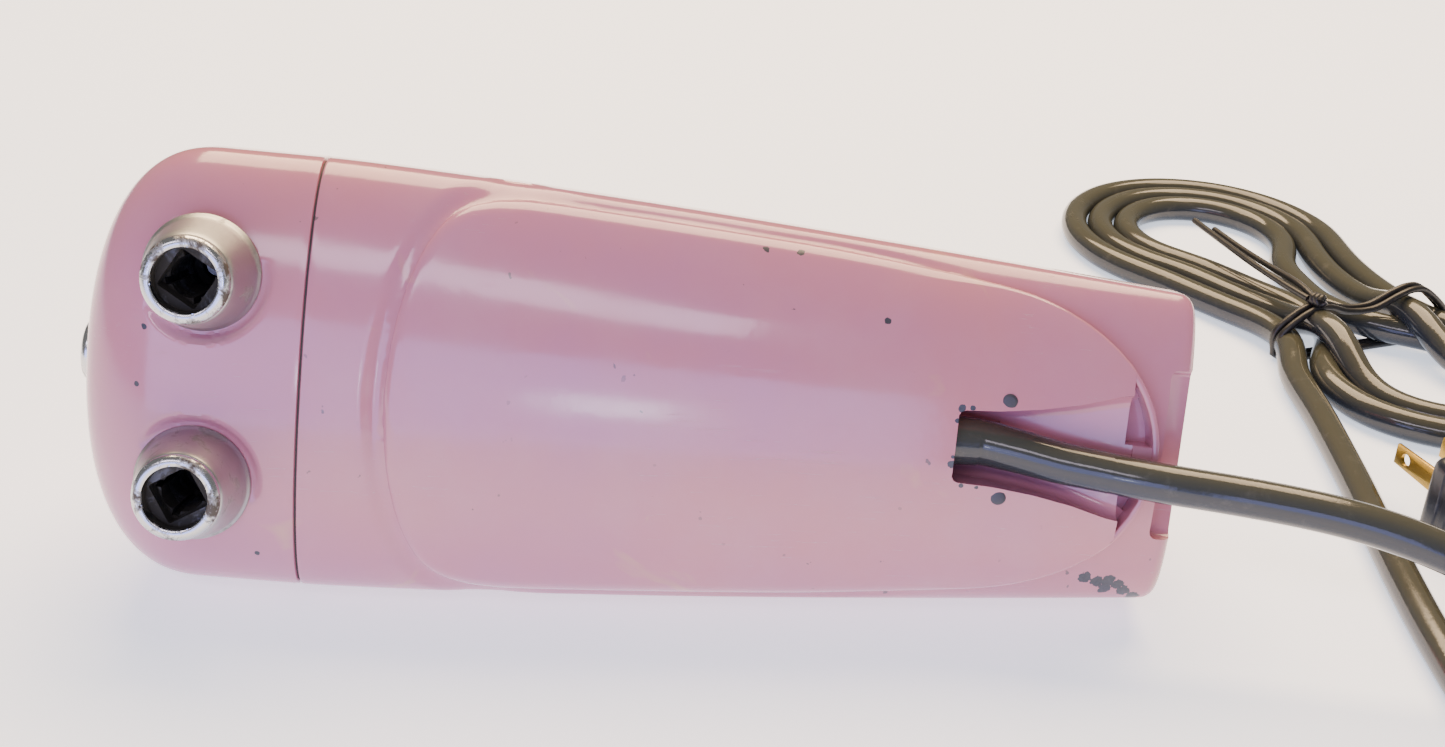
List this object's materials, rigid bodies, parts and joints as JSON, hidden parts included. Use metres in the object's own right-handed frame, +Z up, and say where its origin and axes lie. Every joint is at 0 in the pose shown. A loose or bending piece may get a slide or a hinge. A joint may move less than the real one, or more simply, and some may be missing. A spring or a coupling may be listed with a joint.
{
  "type": "hand mixer",
  "caption": "Portable electric hand mixer in pink enamel lying on its side, with beater sockets, a looped handle and a tied cord.",
  "frame": {"origin": "centre of the mixer's footprint on the surface that it lies on, without its lead", "axes": "+X from the nose to the heel, +Z up from the surface, the underside with its sockets faces -Y and up"},
  "size_m": [0.3697, 0.3407, 0.0859],
  "materials": {
    "pink_enamel": "glossy enamel, chipped at the edges",
    "gasket_paper": "matt",
    "medallion_chrome": "polished",
    "satin_die_cast": "satin turned",
    "worn_chrome_ring": "worn",
    "bronze_bush": "sintered bronze",
    "cast_alloy": "as cast",
    "plated_steel": "zinc plated",
    "rivet_steel": "dull bare metal",
    "lamination_steel": "stacked laminations",
    "copper_winding": "enamelled copper",
    "brown_phenolic": "cloth filled resin",
    "carbon": "graphite",
    "black_moulding": "moulded",
    "control_knob": "moulded",
    "grey_cord_rubber": "smooth",
    "wire_insulation": "matt",
    "tie_black": "covered wire",
    "blade_brass": "bright"
  },
  "bodies": {
    "housing": {"gear_case": "pink_enamel", "motor_housing": "pink_enamel", "seam_gasket": "gasket_paper", "handle_shell": "pink_enamel", "handle_cover": "pink_enamel", "nose_medallion": "medallion_chrome", "left_socket_cone": "satin_die_cast", "right_socket_cone": "satin_die_cast", "gear_plate": "cast_alloy", "nose_bearing": "bronze_bush", "front_bearing": "bronze_bush", "rear_bearing": "bronze_bush", "bulkhead": "cast_alloy", "rear_bracket": "plated_steel", "stator_core": "lamination_steel", "field_coils": "copper_winding", "brush_holders": "brown_phenolic", "carbon_brushes": "carbon", "brush_springs": "plated_steel", "speed_switch": "black_moulding", "internal_leads": "wire_insulation", "through_bolts": "plated_steel", "handle_screws": "plated_steel", "cord_grommet": "grey_cord_rubber", "cord_clamp": "plated_steel", "clamp_rivets": "rivet_steel", "ejector_spring": "plated_steel", "lead": "grey_cord_rubber", "lead_hank": "grey_cord_rubber", "lead_tie": "tie_black", "plug_lead": "grey_cord_rubber", "plug_body": "black_moulding", "plug_blades": "blade_brass"},
    "armature": {"motor_shaft": "lamination_steel", "armature_core": "lamination_steel", "armature_winding": "copper_winding", "commutator": "copper_winding", "cooling_fan": "cast_alloy"},
    "left_drive": {"left_spindle": "worn_chrome_ring", "left_worm_gear": "brown_phenolic"},
    "right_drive": {"right_spindle": "worn_chrome_ring", "right_worm_gear": "brown_phenolic"},
    "ejector": {"ejector_button": "medallion_chrome", "ejector_rod": "plated_steel", "ejector_yoke": "plated_steel"},
    "speed_control": {"speed_slide": "control_knob"}
  },
  "joints": [
    {"name": "motor_spin", "type": "hinge", "parent": "housing", "child": "armature", "pos_m": [-0.04644, -0.01704, 0.03876], "axis": [0.9988, 0, -0.0489], "continuous": true},
    {"name": "left_spindle_spin", "type": "hinge", "parent": "housing", "child": "left_drive", "pos_m": [-0.08124, -0.02645, 0.06431], "axis": [-0.0144, 0.9558, -0.2937], "continuous": true},
    {"name": "right_spindle_spin", "type": "hinge", "parent": "housing", "child": "right_drive", "pos_m": [-0.0831, -0.03821, 0.02612], "axis": [-0.0144, 0.9558, -0.2937], "continuous": true},
    {"name": "eject_press", "type": "slide", "parent": "housing", "child": "ejector", "axis": [0.0144, -0.9558, 0.2937], "range_m": [0, 0.006], "stiffness_N_per_m": 900, "springref_m": -0.004, "deforming": ["ejector_spring"]},
    {"name": "speed_slide_travel", "type": "slide", "parent": "housing", "child": "speed_control", "axis": [0.9988, 0, -0.0489], "range_m": [0, 0.012]}
  ],
  "couplings": [
    {"joint": "left_spindle_spin", "follows": "motor_spin", "ratio": 0.064516},
    {"joint": "right_spindle_spin", "follows": "motor_spin", "ratio": -0.064516}
  ]
}
